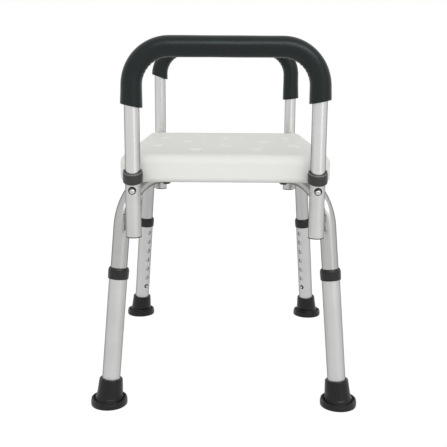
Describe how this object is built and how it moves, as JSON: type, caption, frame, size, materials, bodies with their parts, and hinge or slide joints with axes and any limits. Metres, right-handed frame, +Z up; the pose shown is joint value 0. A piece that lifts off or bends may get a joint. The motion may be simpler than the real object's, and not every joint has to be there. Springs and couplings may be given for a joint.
{
  "type": "shower stool",
  "caption": "Shower stool with a moulded white seat with drain holes, lift-off padded arm rails, telescoping splayed legs with snap buttons, and wide rubber feet.",
  "frame": {"origin": "on the floor, under the middle of the seat", "axes": "+Z up, +X the way the sitter faces, +Y to the sitter's left, with one arm rail on each side"},
  "size_m": [0.415, 0.5042, 0.5772],
  "materials": {
    "moulded_white": "fine moulded grain",
    "anodised_tube": "satin anodised",
    "black_plastic": "moulded satin",
    "grip_foam": "closed-cell foam skin",
    "foot_rubber": "matt moulded rubber",
    "button_steel": "plated",
    "spring_steel": "spring temper",
    "fastener_steel": "stainless",
    "black_bolt": "black oxide",
    "insert_brass": "knurled"
  },
  "bodies": {
    "frame": {"seat": "moulded_white", "frame_tube_long": "anodised_tube", "frame_tube_front_left": "anodised_tube", "frame_tube_rear_right": "anodised_tube", "saddle_washers": "black_plastic", "seat_bolts": "black_bolt", "seat_inserts": "insert_brass", "arm_socket_front_right": "anodised_tube", "socket_collar_front_right": "black_plastic", "socket_web_front_right": "anodised_tube", "leg_clip_front_right": "spring_steel", "arm_socket_front_left": "anodised_tube", "socket_collar_front_left": "black_plastic", "socket_web_front_left": "anodised_tube", "leg_clip_front_left": "spring_steel", "arm_socket_rear_right": "anodised_tube", "socket_collar_rear_right": "black_plastic", "socket_web_rear_right": "anodised_tube", "leg_clip_rear_right": "spring_steel", "arm_socket_rear_left": "anodised_tube", "socket_collar_rear_left": "black_plastic", "socket_web_rear_left": "anodised_tube", "leg_clip_rear_left": "spring_steel"},
    "leg_front_right": {"leg_tube_front_right": "anodised_tube", "leg_collar_front_right": "black_plastic", "foot_front_right": "foot_rubber", "foot_washer_front_right": "fastener_steel"},
    "leg_button_front_right": {"leg_button_front_right": "button_steel"},
    "leg_front_left": {"leg_tube_front_left": "anodised_tube", "leg_collar_front_left": "black_plastic", "foot_front_left": "foot_rubber", "foot_washer_front_left": "fastener_steel"},
    "leg_button_front_left": {"leg_button_front_left": "button_steel"},
    "leg_rear_right": {"leg_tube_rear_right": "anodised_tube", "leg_collar_rear_right": "black_plastic", "foot_rear_right": "foot_rubber", "foot_washer_rear_right": "fastener_steel"},
    "leg_button_rear_right": {"leg_button_rear_right": "button_steel"},
    "leg_rear_left": {"leg_tube_rear_left": "anodised_tube", "leg_collar_rear_left": "black_plastic", "foot_rear_left": "foot_rubber", "foot_washer_rear_left": "fastener_steel"},
    "leg_button_rear_left": {"leg_button_rear_left": "button_steel"},
    "right_arm": {"arm_tube_right": "anodised_tube", "grip_right": "grip_foam", "arm_stub_front_right": "black_plastic", "arm_clip_front_right": "spring_steel", "arm_stub_rear_right": "black_plastic", "arm_clip_rear_right": "spring_steel"},
    "arm_button_front_right": {"arm_button_front_right": "button_steel"},
    "arm_button_rear_right": {"arm_button_rear_right": "button_steel"},
    "left_arm": {"arm_tube_left": "anodised_tube", "grip_left": "grip_foam", "arm_stub_front_left": "black_plastic", "arm_clip_front_left": "spring_steel", "arm_stub_rear_left": "black_plastic", "arm_clip_rear_left": "spring_steel"},
    "arm_button_front_left": {"arm_button_front_left": "button_steel"},
    "arm_button_rear_left": {"arm_button_rear_left": "button_steel"}
  },
  "joints": [
    {"name": "leg_extend_front_right", "type": "slide", "parent": "frame", "child": "leg_front_right", "axis": [0.0765, -0.0948, -0.9925], "range_m": [0, 0.12]},
    {"name": "leg_button_press_front_right", "type": "slide", "parent": "frame", "child": "leg_button_front_right", "axis": [0.6233, -0.7724, 0.1219], "range_m": [0, 0.0033], "stiffness_N_per_m": 900, "springref_m": -0.002, "deforming": ["leg_clip_front_right"]},
    {"name": "leg_extend_front_left", "type": "slide", "parent": "frame", "child": "leg_front_left", "axis": [0.0765, 0.0948, -0.9925], "range_m": [0, 0.12]},
    {"name": "leg_button_press_front_left", "type": "slide", "parent": "frame", "child": "leg_button_front_left", "axis": [0.6233, 0.7724, 0.1219], "range_m": [0, 0.0033], "stiffness_N_per_m": 900, "springref_m": -0.002, "deforming": ["leg_clip_front_left"]},
    {"name": "leg_extend_rear_right", "type": "slide", "parent": "frame", "child": "leg_rear_right", "axis": [-0.0765, -0.0948, -0.9925], "range_m": [0, 0.12]},
    {"name": "leg_button_press_rear_right", "type": "slide", "parent": "frame", "child": "leg_button_rear_right", "axis": [-0.6233, -0.7724, 0.1219], "range_m": [0, 0.0033], "stiffness_N_per_m": 900, "springref_m": -0.002, "deforming": ["leg_clip_rear_right"]},
    {"name": "leg_extend_rear_left", "type": "slide", "parent": "frame", "child": "leg_rear_left", "axis": [-0.0765, 0.0948, -0.9925], "range_m": [0, 0.12]},
    {"name": "leg_button_press_rear_left", "type": "slide", "parent": "frame", "child": "leg_button_rear_left", "axis": [-0.6233, 0.7724, 0.1219], "range_m": [0, 0.0033], "stiffness_N_per_m": 900, "springref_m": -0.002, "deforming": ["leg_clip_rear_left"]},
    {"name": "arm_lift_right", "type": "slide", "parent": "frame", "child": "right_arm", "axis": [0, 0, 1], "range_m": [0, 0.189]},
    {"name": "arm_button_press_front_right", "type": "slide", "parent": "right_arm", "child": "arm_button_front_right", "axis": [0, 1, 0], "range_m": [0, 0.0039], "stiffness_N_per_m": 900, "springref_m": -0.002, "deforming": ["arm_clip_front_right"]},
    {"name": "arm_button_press_rear_right", "type": "slide", "parent": "right_arm", "child": "arm_button_rear_right", "axis": [0, 1, 0], "range_m": [0, 0.0039], "stiffness_N_per_m": 900, "springref_m": -0.002, "deforming": ["arm_clip_rear_right"]},
    {"name": "arm_lift_left", "type": "slide", "parent": "frame", "child": "left_arm", "axis": [0, 0, 1], "range_m": [0, 0.189]},
    {"name": "arm_button_press_front_left", "type": "slide", "parent": "left_arm", "child": "arm_button_front_left", "axis": [0, -1, 0], "range_m": [0, 0.0039], "stiffness_N_per_m": 900, "springref_m": -0.002, "deforming": ["arm_clip_front_left"]},
    {"name": "arm_button_press_rear_left", "type": "slide", "parent": "left_arm", "child": "arm_button_rear_left", "axis": [0, -1, 0], "range_m": [0, 0.0039], "stiffness_N_per_m": 900, "springref_m": -0.002, "deforming": ["arm_clip_rear_left"]}
  ]
}
